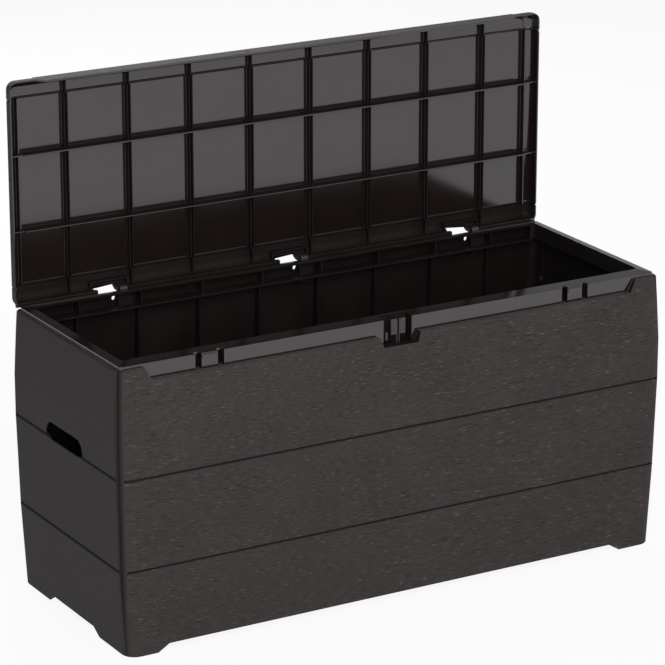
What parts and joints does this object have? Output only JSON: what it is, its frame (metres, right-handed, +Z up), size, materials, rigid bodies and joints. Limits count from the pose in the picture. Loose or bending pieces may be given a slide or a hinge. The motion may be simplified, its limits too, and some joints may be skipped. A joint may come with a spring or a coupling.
{
  "type": "deck storage box",
  "caption": "Long moulded storage box with three-plank walls, finger holes in its ends, and a ribbed lid that is hinged along the back rim and stands upright.",
  "frame": {"origin": "middle of the footprint of the whole box with its lid standing open, on the floor", "axes": "+X to the right of someone facing the front, +Y from the front to the back, +Z up"},
  "size_m": [1.166, 0.4666, 0.9733],
  "materials": {
    "grained_resin": "fine wood grain, matte",
    "smooth_resin": "smooth, semi-gloss",
    "fittings_resin": "smooth, satin",
    "screw_steel": "zinc plated"
  },
  "bodies": {
    "box": {"floor_panel": "smooth_resin", "front_panel": "grained_resin", "back_panel": "grained_resin", "left_end_panel": "grained_resin", "right_end_panel": "grained_resin", "hinge_clip_left": "fittings_resin", "hinge_clip_centre": "fittings_resin", "hinge_clip_right": "fittings_resin", "hinge_screw_left_1": "screw_steel", "hinge_screw_left_2": "screw_steel", "hinge_screw_centre_1": "screw_steel", "hinge_screw_centre_2": "screw_steel", "hinge_screw_right_1": "screw_steel", "hinge_screw_right_2": "screw_steel", "corner_rivet_front_left_1": "fittings_resin", "corner_rivet_front_left_2": "fittings_resin", "corner_rivet_front_left_3": "fittings_resin", "corner_rivet_back_left_1": "fittings_resin", "corner_rivet_back_left_2": "fittings_resin", "corner_rivet_back_left_3": "fittings_resin", "corner_rivet_front_right_1": "fittings_resin", "corner_rivet_front_right_2": "fittings_resin", "corner_rivet_front_right_3": "fittings_resin", "corner_rivet_back_right_1": "fittings_resin", "corner_rivet_back_right_2": "fittings_resin", "corner_rivet_back_right_3": "fittings_resin", "lock_receiver": "fittings_resin", "lock_receiver_screw_1": "screw_steel", "lock_receiver_screw_2": "screw_steel"},
    "lid": {"lid": "smooth_resin"}
  },
  "joints": [
    {"name": "lid_hinge", "type": "hinge", "parent": "box", "child": "lid", "pos_m": [0, 0.20625, 0.5478], "axis": [1, 0, 0], "range_deg": [0, 90]}
  ]
}
